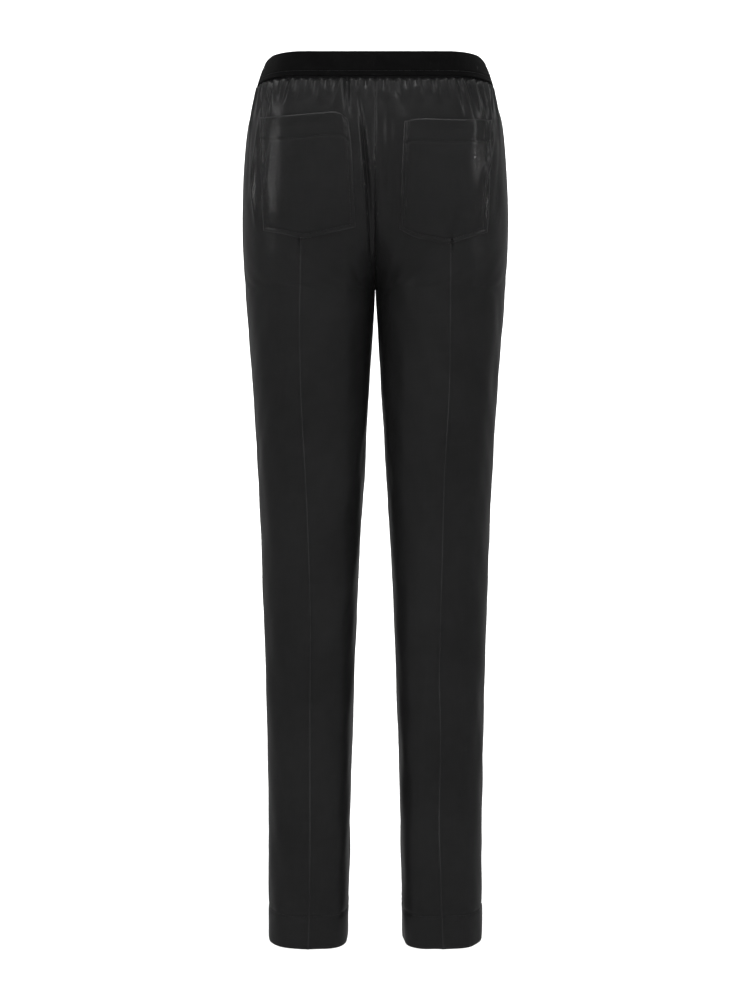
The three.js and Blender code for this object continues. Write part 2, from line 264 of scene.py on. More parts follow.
# folds: points down each as (z, distance from the middle plane), how wide it is and how far it stands out of
# the cloth, or into it where that is negative
folds = {
    "back_left": [
        # the trough beside the centre back seam, and its softer neighbours
        ([(-34, 21), (-56, 17), (-76, 14.7), (-112, 11.4), (-140, 8.4), (-188, 5.2), (-238, 3.6)], 2.3, -5.2),
        ([(-44, 27), (-76, 21.5), (-112, 18), (-150, 15), (-205, 12)], 4.6, 2),
        ([(-50, 8), (-90, 6), (-130, 4)], 3.2, 1),
        # beside the left pocket
        ([(-66, 139), (-83, 140.4), (-125, 143.4), (-140, 145.6), (-174, 142.8), (-200, 140)], 3.2, 3),
        ([(-66, 149), (-110, 152), (-160, 153)], 5, -1.2),
        ([(-84, 122), (-104, 125.5), (-132, 129), (-190, 133)], 2.3, 1.5),
        ([(-70, 117), (-110, 119), (-150, 120)], 5, -0.5),
        ([(-38, 128), (-54, 131), (-68, 132)], 2.2, -2.4),
        # under the seat
        ([(-222, 30), (-250, 22), (-282, 9)], 6, -1),
        ([(-214, 122), (-262, 116), (-330, 108)], 9, 1),
    ],
    "back_right": [
        ([(-18, 17), (-30, 24), (-44, 31), (-64, 36)], 5, -1.3),
        ([(-38, 15.5), (-90, 15.5), (-150, 17), (-222, 18)], 5.5, -2),
        ([(-45, 8), (-120, 7), (-200, 6.5)], 4, 0.8),
        ([(-52, 25), (-110, 25), (-170, 27)], 5, 0.7),
        # across the right pocket's outer edge
        ([(-40, 128), (-56, 131), (-72, 131)], 2.2, -2.2),
        ([(-72, 141), (-91, 138.9), (-112, 134.7), (-139, 126.2), (-163, 123.2), (-204, 116)], 3.3, 3.8),
        ([(-62, 131), (-121, 128.6), (-175, 120.2)], 4.5, 1),
        ([(-66, 118), (-110, 114)], 5, 0.9),
        ([(-165, 105), (-190, 97), (-216, 88)], 6, -1.1),
        ([(-80, 149), (-130, 147), (-190, 141)], 6, -1.4),
        ([(-226, 28), (-256, 18), (-288, 8)], 6, -1.1),
        ([(-218, 120), (-270, 112), (-345, 106)], 9, 1),
    ],
    "front_left": [
        ([(-46, 40), (-95, 46), (-150, 50), (-205, 54)], 10, 2.2),
        ([(-60, 96), (-120, 108), (-190, 122), (-240, 132)], 9, 2.4),
        ([(-150, 8), (-200, 22), (-250, 40)], 7, -1.8),
        ([(-215, 6), (-250, 26), (-285, 52)], 6, 1.4),
        ([(-50, 18), (-110, 15), (-190, 12)], 6, -1.6),
    ],
    "front_right": [
        ([(-46, 50), (-95, 47), (-150, 44), (-190, 43)], 10, 2),
        ([(-56, 104), (-120, 116), (-180, 124), (-230, 128)], 9, 2.7),
        ([(-140, 9), (-190, 24), (-246, 44)], 7, -1.7),
        ([(-208, 5), (-244, 22), (-276, 47)], 6, 1.3),
        ([(-48, 22), (-120, 20), (-180, 15)], 6, -1.4),
    ],
}

# pressed creases: points as (z, distance from the middle plane)
creases = {
    "back_left": [
        (-205, 86.8), (-315, 89.1), (-398, 87.7), (-430, 85.9), (-490, 82.3), (-556, 79.9), (-620, 77.6),
        (-684, 76.5), (-755, 77.8), (-970, 77.8), (-1010, 78.6), (-1055, 80.2),
    ],
    "back_right": [
        (-208, 88.1), (-245, 88.3), (-379, 88), (-424, 85.6), (-480, 82), (-531, 80.8), (-582, 79.7),
        (-632, 78.5), (-678, 77.3), (-725, 75.4), (-780, 78.2), (-834, 77.7), (-902, 75.6), (-969, 78.4),
        (-1010, 79.7), (-1055, 81.3),
    ],
    "front_left": [(-70, 90), (-200, 89), (-400, 87), (-620, 78), (-860, 77), (-1055, 80)],
    "front_right": [(-70, 90), (-200, 89), (-400, 87), (-620, 79), (-860, 77), (-1055, 80)],
}
creaseShape = {
    "top": -204,
    "full": -214,
    "height": 2,
    "steep": 5.5,
    "gentle": 15,
    "nip": 0.9,
    "nipWidth": 0.95,
    # width of the painted sheen along the crease's very edge
    "paintedSheen": 0.75,
    "notch": 3,  # the crease starts in a short sharp nick under the pocket
    "notchFoot": -236,
    "frontTop": -60,
    "frontFull": -240,
}
# which side of each crease turns away more sharply, 1 outwards and -1 inwards, down the leg
creaseTurn = {
    "back_left": [(-206, 0.9), (-300, 0.9), (-420, 0.5), (-520, -0.4), (-680, -0.8), (-1055, -0.6)],
    "back_right": [(-206, 0.3), (-300, 0.2), (-430, 0.9), (-620, 0.9), (-760, -0.2), (-1055, 0.4)],
    "front_left": [(-60, 0.4), (-500, -0.3), (-1055, 0.3)],
    "front_right": [(-60, -0.3), (-560, 0.5), (-1055, -0.2)],
}

# gathers under the elastic: where each starts and has faded, as (distance from the middle plane, z) twice,
# then its width and its height, which is negative for the sharp valleys between some of them
gathers = {
    "back_left": [
        (7, -15, 6.5, -42, 2.2, 1.6), (18.5, -15, 21, -50, 2.6, 2.6), (28.5, -15, 29, -60, 2.4, 2.6),
        (40, -15, 51, -56, 2.8, 3), (53, -15, 57, -38, 2.2, 1.8), (64, -15, 69, -52, 2.5, 2.7),
        (77.3, -15, 81, -40, 2.2, 2.3), (87.5, -15, 90, -46, 2.2, 1.7), (97, -15, 107.5, -50, 2.6, 3.2),
        (110, -15, 114, -44, 2.2, 2), (118.5, -15, 124, -64, 2.2, 2.8), (126.5, -15, 130, -52, 1.9, 2),
        (132, -16, 136.5, -66, 2, 2.9), (138, -17, 143, -64, 2, 2.6), (143.5, -18, 152.5, -92, 2.3, 3),
        (11.6, -15, 11.9, -30, 1.5, -2.4), (33.8, -15, 33.2, -76, 3, -4.4), (47.5, -15, 52, -34, 1.9, -2),
        (58.5, -15, 61, -30, 1.6, -1.7), (71, -15, 73.5, -36, 1.8, -2), (92.5, -15, 97, -34, 1.8, -2),
        (103.5, -15, 111, -50, 2, -2.4), (122.8, -15, 127.5, -58, 1.7, -2.3),
        (135.2, -16, 140, -62, 1.6, -2.3),
    ],
    "back_right": [
        (6, -15, 7, -42, 2.2, 1.6), (15, -15, 14, -46, 2.6, 2.2), (29, -15, 33, -50, 2.4, 2),
        (41, -15, 43, -42, 2.4, 1.7), (52, -15, 55, -48, 2.4, 2.2), (63, -15, 66, -38, 2.2, 1.5),
        (73, -15, 77, -50, 2.4, 2.1), (83, -15, 88, -42, 2.2, 1.9), (92.5, -15, 104, -68, 2.5, 3.2),
        (102, -15, 117, -70, 2.5, 3.1), (115.5, -15, 130, -74, 2.3, 3.1), (125.5, -15, 134, -56, 1.9, 2.1),
        (132.5, -16, 138.5, -72, 2, 3), (138.5, -17, 141.5, -70, 1.9, 2.7), (144, -18, 150.5, -92, 2.2, 2.8),
        (10.5, -15, 10, -34, 1.7, -1.8), (22, -15, 25, -40, 2.2, -2), (35, -15, 38, -32, 1.8, -1.7),
        (47, -15, 49, -28, 1.6, -1.5), (68, -15, 71, -36, 1.8, -1.9), (97.5, -15, 109, -58, 2, -2.3),
        (109, -15, 122.5, -62, 1.9, -2.4), (121, -15, 133.5, -60, 1.7, -2.2),
        (135.7, -16, 140, -62, 1.5, -2.2),
    ],
}
gatherShape = {
    "under": 0.22,
    "openBy": 4,
    "steep": 0.62,
    "gentle": 1.7,
    "grow": 0.6,
    "tallAtBack": 0.82,
    "tallAtHip": 1.25,
    "spacing": 9.6,
    "frontFrom": 6.0,
    "frontTo": 148,
    "frontReach": (22, 62),
    "frontValleys": 0.6,  # the share of gathers in front with a valley beside them
}


def frontGathers():
    rows = []
    x = gatherShape["frontFrom"]
    while x < gatherShape["frontTo"]:
        foot = -15 - rng.uniform(*gatherShape["frontReach"])
        rows.append((x, -15, x * rng.uniform(1.02, 1.08), foot, rng.uniform(2.0, 2.8), rng.uniform(1.6, 3.1)))
        x += gatherShape["spacing"] * rng.uniform(0.75, 1.3)
    return rows


def frontValleys(rows):
    between = []
    for first, second in zip(rows, rows[1:]):
        if rng.random() < gatherShape["frontValleys"]:
            x0, x1 = ((first[i] + second[i]) / 2 + 1.2 for i in (0, 2))
            foot = -15 - rng.uniform(14, 44)
            between.append((x0, -15, x1, foot, rng.uniform(1.5, 2.2), -rng.uniform(1.5, 2.5)))
    return between


for face in ("front_left", "front_right"):
    gathers[face] = frontGathers()
    gathers[face] += frontValleys(gathers[face])


def gatherHeight(grid, name):
    # each gather is steep on its outer side; where one stands it has come out from under the elastic sooner
    s = gatherShape
    height = np.zeros(grid.along.shape)
    ridge = np.zeros(grid.along.shape)
    z = grid.zs[:, None]
    out = mixOf(s["under"], 1, easeOf((cloth["bandFoot"] + 0.5 - z) / s["openBy"]))
    for x0, z0, x1, z1, width, rise in gathers[name]:
        centre = grid.lineAt([z0 + 20, z0, z1, z1 - 30], [x0, x0, x1, x1 + (x1 - x0) * 0.6])[:, None]
        fade = 1 - np.clip((z0 - 3 - z) / (z0 - 3 - z1), 0, 1) ** 1.8
        lean = grid.along - centre
        steep, gentle = (s["steep"], s["gentle"]) if rise > 0 else (1, 1)
        grow = 1 + s["grow"] * easeOf((z0 - z) / (z0 - z1))
        shape = bell(lean, np.where(lean > 0, width * steep, width * gentle) * grow)
        taller = mixOf(s["tallAtBack"], s["tallAtHip"], easeOf((x0 - 90) / 40))
        height += rise * taller * out * fade * shape
        if rise > 0:
            ridge = np.maximum(ridge, shape)
    released = easeOf((cloth["bandFoot"] - z) / mixOf(cloth["bulgeSlow"], cloth["bulgeFast"], ridge))
    down = easeOf((cloth["bandFoot"] - z) / (cloth["bandFoot"] - cloth["sideFoot"]))
    atSide = cloth["sideHeld"] * easeOf((grid.acrossX - cloth["sideFrom"]) / 18) * (1 - down) * released
    return height, -cloth["heldIn"] * (1 - released) - atSide


def foldHeight(grid, name):
    height = np.zeros(grid.along.shape)
    for line, width, rise in folds[name]:
        zs, xs = zip(*line)
        down = np.clip((zs[0] - grid.zs) / (zs[0] - zs[-1]), 0, 1)[:, None]
        uneven = 1 + 0.22 * np.sin(grid.zs[:, None] / 17.0 + width) + 0.12 * np.sin(grid.zs[:, None] / 7.3)
        centre = grid.lineAt(zs, xs)[:, None]
        lean = grid.along - centre
        spread = width * mixOf(0.8, 1.25, down)
        across = bell(lean, np.where(lean > 0, spread * 1.2, spread))
        height += rise * uneven * np.sin(math.pi * down) ** 0.7 * across
    return height


def creaseHeight(grid, name):
    # a fine pressed edge on a ridge that falls away more sharply on one side
    zs, xs = zip(*creases[name])
    c = creaseShape
    top, full = (c["top"], c["full"]) if grid.face == "back" else (c["frontTop"], c["frontFull"])
    z = grid.zs[:, None]
    pressed = easeOf((top - z) / (top - full))
    grown = mixOf(0.35, 1, easeOf((top - z) / 150))
    lean = grid.along - grid.lineAt(zs, xs)[:, None]
    turnZ, turn = zip(*creaseTurn[name])
    turned = np.interp(-grid.zs, -np.array(turnZ, float), turn)[:, None]
    share = 0.5 + 0.5 * np.sign(lean) * turned
    spread = mixOf(c["gentle"], c["steep"], share)
    uneven = 1 + 0.2 * np.sin(z / 41.0) + 0.12 * np.sin(z / 23.0 + 1)
    ridge = c["height"] * np.exp(-np.abs(lean) / spread)
    edge = c["nip"] * np.exp(-np.abs(lean) / c["nipWidth"])
    height = pressed * grown * uneven * (ridge + edge)
    if grid.face == "back":
        nick = easeOf((top - z) / 6) * (1 - easeOf((top - z) / (top - c["notchFoot"])))
        height = height - c["notch"] * nick * bell(lean - 1.6, 1.5) + 0.7 * nick * bell(lean + 2.5, 2.5)
    return height


def paintedCreaseSheen(grid):
    # painted sheen: a lighter colour along the very edge of the crease, where it would catch a highlight,
    # unevenly down the leg
    c = creaseShape
    top = c["top"] if grid.face == "back" else c["frontTop"]
    z = grid.zs[:, None]
    uneven = 0.75 + 0.25 * np.sin(z / 37.0 + 0.6) * np.sin(z / 83.0)
    lean = grid.along - grid.crease[:, None]
    return easeOf((top - z) / 8) * uneven * bell(lean, c["paintedSheen"])


waves = {"count": 9, "tall": (70, 260), "wide": (26, 80), "height": 0.2, "atTop": 0.55}


def softWaves(grid):
    # slow uneven swells of the hanging cloth, stronger down the legs
    height = np.zeros(grid.along.shape)
    z = grid.zs[:, None]
    for i in range(waves["count"]):
        tall, wide = rng.uniform(*waves["tall"]), rng.uniform(*waves["wide"])
        phase, tilt = rng.uniform(0, 2 * math.pi, 2)
        across = np.sin(grid.along / wide * 2 * math.pi + tilt + z / 190)
        height += np.sin(z / tall * 2 * math.pi + phase) * across
    return height * waves["height"] * mixOf(waves["atTop"], 1, easeOf((-240 - z) / 200))


def seamDip(grid):
    # the cloth turns in at its seams and puckers a little along them
    z = grid.zs[:, None]
    height = np.zeros(grid.along.shape)
    for edge, phase in ((grid.along, 0.0), (grid.width[:, None] - grid.along, 2.0)):
        pucker = np.sin(z / 5.3 + phase + 2 * np.sin(z / 31.0)) * (0.6 + 0.4 * np.sin(z / 47.0 + phase))
        height -= cloth["seamDip"] * np.exp(-edge / cloth["seamDipWidth"])
        height += cloth["seamPucker"] * pucker * np.exp(-edge / cloth["seamPuckerWidth"])
    return height


hems = {
    "doubled": 0.55,
    "line": 0.75,
    "lineWidth": 2.4,
    "pucker": 0.25,
    "inseamPucker": 0.9,
    "foldIn": 0.5,
    "foldOver": 2.5,
    "endDrop": -2.0,  # the stitch line comes down a little at the seams
    "uneven": 0.6,
}


def hemShape(grid):
    # the turned-up hem: a shallow line where it is stitched, the doubled cloth below it, small puckers above
    h = hems
    above = grid.zs[:, None] - cloth["hemStitch"]
    height = h["doubled"] * easeOf(-above / 3) - h["line"] * bell(above, h["lineWidth"])
    height = height + h["pucker"] * np.sin(grid.along / 4.1 + 1.5 * np.sin(grid.along / 19)) * bell(above, 9)
    nearInseam = np.exp(-grid.along / 9) * bell(above - 2, 10)
    height = height + nearInseam * h["inseamPucker"] * np.sin(grid.zs[:, None] / 2.3)
    return height - h["foldIn"] * easeOf((cloth["hem"] + h["foldOver"] - grid.zs[:, None]) / h["foldOver"])


def edgeFade(grid):
    return easeOf(np.minimum(grid.along, grid.width[:, None] - grid.along) / cloth["edgeFade"])


def meshFrom(name, points, faces, uvs=None, pressed=None):
    data = bpy.data.meshes.new(name)
    data.from_pydata((np.asarray(points) * mm).tolist(), [], [list(f) for f in faces])
    if uvs is not None:
        layer = data.uv_layers.new(name="cloth")
        loops = np.zeros(len(data.loops), dtype=np.int32)
        data.loops.foreach_get("vertex_index", loops)
        layer.data.foreach_set("uv", (np.asarray(uvs)[loops] * mm).ravel())
    # the "pressed" attribute holds where the painted sheen goes
    if pressed is not None:
        values = data.attributes.new("pressed", "FLOAT", "POINT").data
        values.foreach_set("value", np.asarray(pressed, np.float32))
    data.shade_smooth()
    return addObject(name, data)


def gridFaces(rows, cols, flip=False, wrap=False):
    r, c = np.meshgrid(np.arange(rows - 1), np.arange(cols if wrap else cols - 1), indexing="ij")
    a = (r * cols + c).ravel()
    b = (r * cols + (c + 1) % cols).ravel()
    quads = np.stack([a, b, b + cols, a + cols], axis=1)
    return quads[:, ::-1] if flip else quads


def shellFrom(name, outer, inner, uv, flip, pressed):
    # a closed thin wall between an outer and an inner sheet of points
    rows, cols = outer.shape[:2]
    count = rows * cols
    points = np.concatenate([outer.reshape(-1, 3), inner.reshape(-1, 3)])
    faces = [gridFaces(rows, cols, flip), gridFaces(rows, cols, not flip) + count]
    index = np.arange(count).reshape(rows, cols)
    rim = np.concatenate([index[0], index[1:, -1], index[-1, -2::-1], index[-2:0:-1, 0]])
    nxt = np.roll(rim, -1)
    walls = np.stack([rim, rim + count, nxt + count, nxt], axis=1)
    faces.append(walls[:, ::-1] if flip else walls)
    # painted sheen on the outer sheet only
    both = np.concatenate([pressed.ravel(), np.zeros(count)])
    return meshFrom(name, points, np.concatenate(faces), np.concatenate([uv.reshape(-1, 2)] * 2), both)


grids = {}
panelPieces = {}


def addPanel(name):
    face, side = name.split("_")
    hand = 1 if side == "left" else -1
    grid = ClothGrid(face, hand, panelRows, panelShares, creases[name])
    gathered, heldIn = gatherHeight(grid, name)
    belowBand = mixOf(0.1, 1, easeOf((cloth["bandFoot"] + 1 - grid.zs[:, None]) / 8))
    height = gathered + belowBand * (foldHeight(grid, name) + softWaves(grid))
    height = edgeFade(grid) * height + creaseHeight(grid, name) + hemShape(grid)
    grid.raiseBy(height + seamDip(grid) + heldIn)
    grids[name] = grid
    uv = np.stack([grid.along * hand, np.repeat(grid.zs[:, None], grid.along.shape[1], axis=1)], axis=2)
    wall = mixOf(cloth["wall"], cloth["hemWall"], easeOf((cloth["hemStitch"] - grid.zs) / 4))[:, None, None]
    inner = grid.points - grid.base * wall
    flip = (hand > 0) == (face == "back")
    # the painted sheen mask along the crease goes with the cloth
    piece = shellFrom(name + "_cloth", grid.points, inner, uv, flip, paintedCreaseSheen(grid))
    step = np.linalg.norm(np.diff(grid.points, axis=1), axis=2)[:-1]
    drop = np.linalg.norm(np.diff(grid.points, axis=0), axis=2)[:, :-1]
    print(name, "cloth about", round(float((step * drop).sum()) * 1e-6, 3), "square metres")
    return piece


for name in ("back_left", "back_right", "front_left", "front_right"):
    panelPieces[name] = addPanel(name)
print("panels made")

# patch pockets, with the edges as they lie: u runs from the inner edge outwards, v from the mouth down
pockets = {
    "pocket_left": {
        "top": [(0, -69), (0.086, -61.6), (0.3, -60.6), (0.553, -62.9), (0.766, -64.7), (1, -62.5)],
        "foot": [(0, -195), (0.237, -201.7), (0.59, -208.5), (0.78, -204.1), (1, -199.1)],
        "inner": [(0, 31.5), (0.22, 28.3), (0.64, 25.4), (1, 23.3)],
        "outer": [(0, 136.6), (0.23, 135.9), (0.47, 134.6), (0.79, 132.4), (1, 131)],
        "facing": 27.3,
    },
    "pocket_right": {
        "top": [(0, -70.8), (0.1, -68.3), (0.25, -68.1), (0.75, -68.5), (1, -65.7)],
        "foot": [(0, -198), (0.17, -207.1), (0.36, -211.7), (0.56, -214.9), (0.78, -208.3), (1, -200.7)],
        "inner": [(0, 34), (0.21, 32.4), (0.63, 30.2), (1, 28.8)],
        "outer": [(0, 137.3), (0.22, 135.9), (0.46, 135.2), (0.74, 133.7), (1, 131.5)],
        "facing": 26.8,
    },
}
pocketShape = {
    "across": 74,
    "down": 92,
    "gap": 0.4,
    "wall": 1.1,
    "wide": 106,
    "tall": 140,
    "edgeStitch": 5.0,
    "stitchTop": 0.004,
    "mouthLift": 1.6,
    "stitchPull": 1.0,
    "puff": 1.1,
    "roll": 0.9,
    "rollOver": 1.7,
    "pucker": 0.16,
    # painted sheen along the pocket's rolled edges, with more of it up the outer edge
    "paintedSheen": 0.8,
    "outerPaintedSheen": 1.3,
}


def pocketPlace(p, u, v):
    z = mixOf(curveThrough(p["top"], u), curveThrough(p["foot"], u), v)
    return mixOf(curveThrough(p["inner"], v), curveThrough(p["outer"], v), u), z


def addPocket(name, p):
    s = pocketShape
    grid = grids[name.replace("pocket", "back")]
    us = easeEnds(np.linspace(0, 1, s["across"]))
    vs = easeEnds(np.linspace(0, 1, s["down"]))
    u, v = np.meshgrid(us, vs)
    x, z = pocketPlace(p, u, v)
    width = curveThrough(p["outer"], v) - curveThrough(p["inner"], v)
    tall = curveThrough(p["top"], u) - curveThrough(p["foot"], u)
    fromSide = np.minimum(u, 1 - u) * width
    fromFoot = (1 - v) * tall
    fromMouth = v * tall
    sewn = np.minimum(fromSide, fromFoot)
    atFacing = fromMouth - p["facing"]
    pucker = np.sin(fromFoot / 2.1 + 1.3 * np.sin(u * 19)) * bell(fromSide - s["edgeStitch"], 3)
    pucker += np.sin(u * width / 2.3 + 1.3 * np.sin(v * 11)) * bell(fromFoot - s["edgeStitch"], 3)
    out = s["gap"] + s["wall"] + 0.25 * (1 - easeOf(atFacing / 2.5))
    out = out + s["puff"] * easeOf((sewn - 6) / 22) * (0.55 + 0.45 * np.sin(u * 5.3 + 3.1 * v + p["facing"]))
    out = out + s["mouthLift"] * (1 - easeOf(fromMouth / 14)) * easeOf((fromSide - 4) / 30)
    out = out - s["stitchPull"] * (bell(sewn - s["edgeStitch"], 1.5) + 0.8 * bell(atFacing, 1.4))
    edge = np.minimum(sewn, fromMouth)
    out = out + s["pucker"] * pucker - s["roll"] * (1 - easeOf(edge / s["rollOver"]))
    shape = u.shape
    outer, _ = grid.sample(x.ravel(), z.ravel(), out.ravel()[:, None])
    inner, _ = grid.sample(x.ravel(), z.ravel(), np.clip(out - s["wall"], 0.15, out - 0.3).ravel()[:, None])
    uv = np.stack([x * grid.hand + 0.4, z + 0.2 * u], axis=2)
    # painted highlight: a lighter colour along the rolled edges, stronger on the upper outer edge, kept as
    # the "pressed" attribute
    pressed = s["paintedSheen"] * bell(edge - s["rollOver"] * 0.4, 0.7) * (0.7 + 0.3 * np.sin(u * 9 + v * 7))
    pressed = pressed * (1 + s["outerPaintedSheen"] * easeOf((u - 0.9) / 0.08) * (1 - easeOf((v - 0.3) / 0.3)))
    outer, inner = outer.reshape(*shape, 3), inner.reshape(*shape, 3)
    piece = shellFrom(name + "_cloth", outer, inner, uv, grid.hand < 0, pressed)

    def stitchLine(us, vs):
        return grid.sample(*pocketPlace(p, us, vs), outAt(us, vs)[:, None])

    def outAt(lineU, lineV):
        row = np.interp(lineV, vs, np.arange(len(vs)))
        col = np.interp(lineU, us, np.arange(len(us)))
        r0, c0 = np.minimum(row.astype(int), len(vs) - 2), np.minimum(col.astype(int), len(us) - 2)
        return cornersMixed(out, r0, c0, row - r0, col - c0)

    # the stitching goes down the inner edge, along the foot and up the outer edge
    du, dv = s["edgeStitch"] / s["wide"], s["edgeStitch"] / s["tall"]
    t = np.linspace(0, 1, 160)
    flat = np.ones(len(t))
    path = [
        (du * flat, mixOf(s["stitchTop"], 1 - dv, t)),
        (mixOf(du, 1 - du, t), (1 - dv) * flat),
        ((1 - du) * flat, mixOf(1 - dv, s["stitchTop"], t)),
    ]
    facingV = p["facing"] / (curveThrough(p["top"], t) - curveThrough(p["foot"], t))
    return piece, [stitchLine(a, b) for a, b in path] + [stitchLine(mixOf(du, 1 - du, t), facingV)]


def easeEnds(t):
    # spaces the points closer at both ends
    return mixOf(t, easeOf(t), 0.7)


def curveThrough(points, t):
    # a smooth curve through a few (t, value) points
    ts, vs = (np.array(a, float) for a in zip(*points))
    slopes = np.gradient(vs, ts)
    t = np.asarray(t, float)
    i = np.clip(np.searchsorted(ts, t, side="right") - 1, 0, len(ts) - 2)
    h = ts[i + 1] - ts[i]
    return curveBetween(vs[i], vs[i + 1], slopes[i], slopes[i + 1], h, np.clip((t - ts[i]) / h, 0, 1))


pocketPieces = {}
stitchPaths = {}
for name, p in pockets.items():
    pocketPieces[name], stitchPaths[name] = addPocket(name, p)
print("pockets made")

# elastic waistband, a plush ring of even height
band = {
    "columns": 460,
    "top": 16.4,
    "foot": -14.2,
    "wall": 2.2,
    "round": 1.05,
    "crown": 0.35,
    "stitchZ": -7.9,
    "stitchPull": 0.5,
    "joinX": 2.7,
    "joinWidth": 0.9,
    "joinDepth": 0.8,
    "joinLift": 0.9,
    "wave": 0.35,
    "ribHeight": 0.1,
    "ribPitch": 3.66,
    "endDrop": 2.9,  # its upper edge comes down a little round each side
    "endFrom": 122,
}


def ringLine(z):
    back, front = levelLine("back", z), levelLine("front", z)
    x = np.concatenate([back[0], front[0][::-1], -front[0], -back[0][::-1]])
    y = np.concatenate([back[1], front[1][::-1], front[1], back[1][::-1]])
    step = np.hypot(np.diff(x, append=x[0]), np.diff(y, append=y[0]))
    length = np.concatenate([[0], np.cumsum(step)])
    at = np.linspace(0, length[-1], band["columns"], endpoint=False)
    x, y = np.append(x, x[0]), np.append(y, y[0])
    px, py = np.interp(at, length, x), np.interp(at, length, y)
    tx, ty = np.roll(px, -1) - np.roll(px, 1), np.roll(py, -1) - np.roll(py, 1)
    size = np.hypot(tx, ty)
    return np.stack([px, py], axis=1), np.stack([ty, -tx], axis=1) / -size[:, None], at


def bandWave(at):
    return band["wave"] * np.sin(at / 17.0 + 1.7 * np.sin(at / 61.0))


def bandProfile():
    # (how far out, height, share of the outer face) round the band's edge, from the top of the outer face
    b = band
    r = b["round"]
    quarter = np.linspace(0, math.pi / 2, 4)[1:-1]
    rows = []
    for z in np.linspace(b["top"] - r, b["foot"] + r, 25):
        rows.append((0.0, z, 1.0))
    for a in quarter:
        rows.append((-r + r * math.cos(a), b["foot"] + r - r * math.sin(a), math.cos(a)))
    rows += [(-r, b["foot"], 0.0), (-b["wall"] + r * 0.8, b["foot"], 0.0)]
    for z in np.linspace(b["foot"] + r, b["top"] - r, 9):
        rows.append((-b["wall"], z, 0.0))
    rows += [(-b["wall"] + r * 0.8, b["top"], 0.0), (-r, b["top"], 0.0)]
    for a in quarter[::-1]:
        rows.append((-r + r * math.cos(a), b["top"] - r + r * math.sin(a), math.cos(a)))
    return rows


def addBand():
    b = band
    points, uvs = [], []
    profile = bandProfile()
    lap = 0.0
    for k, (out, z, outerShare) in enumerate(profile):
        xy, way, at = ringLine(z)
        crown = b["crown"] * (1 - (z / b["top"]) ** 4)
        wave = bandWave(at) * (0.4 + 0.6 * (1 - (z / 15)) / 2)
        ribs = b["ribHeight"] * np.sin(at * 2 * math.pi / b["ribPitch"])
        backward = xy[:, 1] > 0
        join = -b["joinDepth"] * bell(xy[:, 0] - b["joinX"], b["joinWidth"]) * backward
        rise = crown + ribs - b["stitchPull"] * bell(z - b["stitchZ"], 1.2)
        moved = out + (rise + join) * outerShare + 0.4 * wave
        lift = b["joinLift"] * bell(xy[:, 0] - b["joinX"], 1.3) * backward if z < b["foot"] + 3 else 0.0
        lift = lift - b["endDrop"] * easeOf(z / b["top"]) * easeOf((np.abs(xy[:, 0]) - b["endFrom"]) / 15)
        xy = xy + way * moved[:, None]
        points.append(np.column_stack([xy, z + lift]))
        lap += 0.0 if k == 0 else math.hypot(out - profile[k - 1][0], z - profile[k - 1][1])
        uvs.append(np.column_stack([at, np.full(len(at), -lap)]))
    rows, cols = len(points), b["columns"]
    r, c = np.meshgrid(np.arange(rows), np.arange(cols), indexing="ij")
    n, d = (c + 1) % cols, (r + 1) % rows
    corners = (r * cols + c, d * cols + c, d * cols + n, r * cols + n)
    faces = np.stack([corner.ravel() for corner in corners], 1)
    return meshFrom("waistband_elastic", np.concatenate(points), faces, np.concatenate(uvs))


bandPiece = addBand()
xy, way, at = ringLine(band["stitchZ"])
bandLine = np.column_stack([xy, np.full(len(xy), band["stitchZ"])])
bandWay = np.column_stack([way, np.zeros(len(way))])
bandLine = bandLine + bandWay * (0.08 + 0.4 * bandWave(at))[:, None]
stitchPaths["waistband"] = [(np.vstack([bandLine, bandLine[:1]]), np.vstack([bandWay, bandWay[:1]]))]


def hemPath(hand):
    # the hem's stitch line round a leg
    side = "left" if hand > 0 else "right"
    parts = []
    for face in ("back", "front"):
        grid = grids[face + "_" + side]
        t = np.linspace(0.006, 0.994, 170)
        row = int(np.argmin(np.abs(grid.zs - cloth["hemStitch"])))
        x = np.interp(t * grid.width[row], grid.along[row], grid.acrossX[row])
        ends = 1 - easeOf(np.minimum(t, 1 - t) * grid.width[row] / 22)
        z = cloth["hemStitch"] + hems["endDrop"] * ends + hems["uneven"] * np.sin(t * 17 + hand)
        parts.append(grid.sample(x, z, 0.02))
    return parts


stitchPaths["hem_left"] = hemPath(1)
stitchPaths["hem_right"] = hemPath(-1)

stitches = {
    "pitch": 2.9,
    "length": 2.25,
    "bandLonger": 1.05,
    "radius": 0.3,
    "rise": 0.26,
    "sink": 0.3,
    "rings": 5,
    "sides": 6,
}


